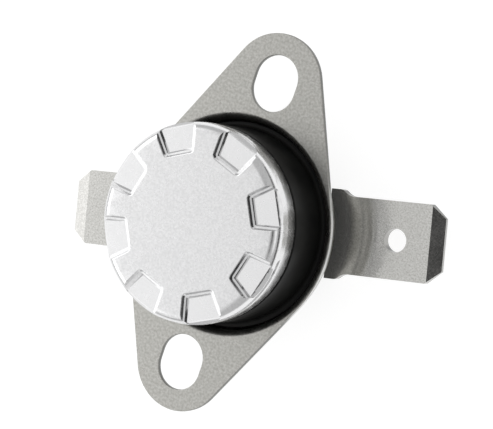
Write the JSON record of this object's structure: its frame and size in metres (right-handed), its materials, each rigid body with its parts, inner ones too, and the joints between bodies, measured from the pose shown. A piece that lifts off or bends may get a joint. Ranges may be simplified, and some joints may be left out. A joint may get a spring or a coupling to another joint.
{
  "type": "snap-disc temperature switch",
  "caption": "Snap-disc temperature switch: staked aluminium cap on a black moulded body, loose eared fixing flange and opposed plug-in blade terminals.",
  "frame": {"origin": "midway between the two fixing slots, on the front face of the flange", "axes": "+Z along the axis of the switch, out through the cap; the flange ears lie along Y; the terminals point 15 degrees from +X and -X"},
  "size_m": [0.034, 0.032, 0.0128],
  "materials": {
    "black_phenolic": "semi-gloss moulding",
    "cap_aluminium": "satin pressed",
    "plated_steel": "satin zinc plate",
    "tinned_brass": "satin tin plate",
    "plain_brass": "plain",
    "bimetal": "rolled",
    "dark_phenolic": "matt moulding",
    "ceramic": "fine ground",
    "spring_brass": "rolled",
    "silver": "plain"
  },
  "bodies": {
    "body": {"housing": "black_phenolic", "cap": "cap_aluminium", "left_terminal": "tinned_brass", "right_terminal": "tinned_brass", "left_rivet": "plain_brass", "right_rivet": "plain_brass", "bimetal_disc": "bimetal", "pin_guide": "dark_phenolic", "contact_arm": "spring_brass", "contact_bracket": "spring_brass", "fixed_contact": "silver"},
    "flange": {"flange": "plated_steel"},
    "pin": {"push_pin": "ceramic"},
    "contact": {"moving_contact": "silver"}
  },
  "joints": [
    {"name": "flange_swivel", "type": "hinge", "parent": "body", "child": "flange", "pos_m": [0, 0, 0], "axis": [0, 0, 1], "continuous": true},
    {"name": "pin_slide", "type": "slide", "parent": "body", "child": "pin", "axis": [0, 0, -1], "range_m": [0, 0.0004], "stiffness_N_per_m": 2500, "deforming": ["bimetal_disc", "contact_arm"]},
    {"name": "contact_slide", "type": "slide", "parent": "body", "child": "contact", "axis": [0, 0, -1], "range_m": [0, 0.00065]}
  ],
  "couplings": [
    {"joint": "contact_slide", "follows": "pin_slide", "ratio": 1.57}
  ]
}
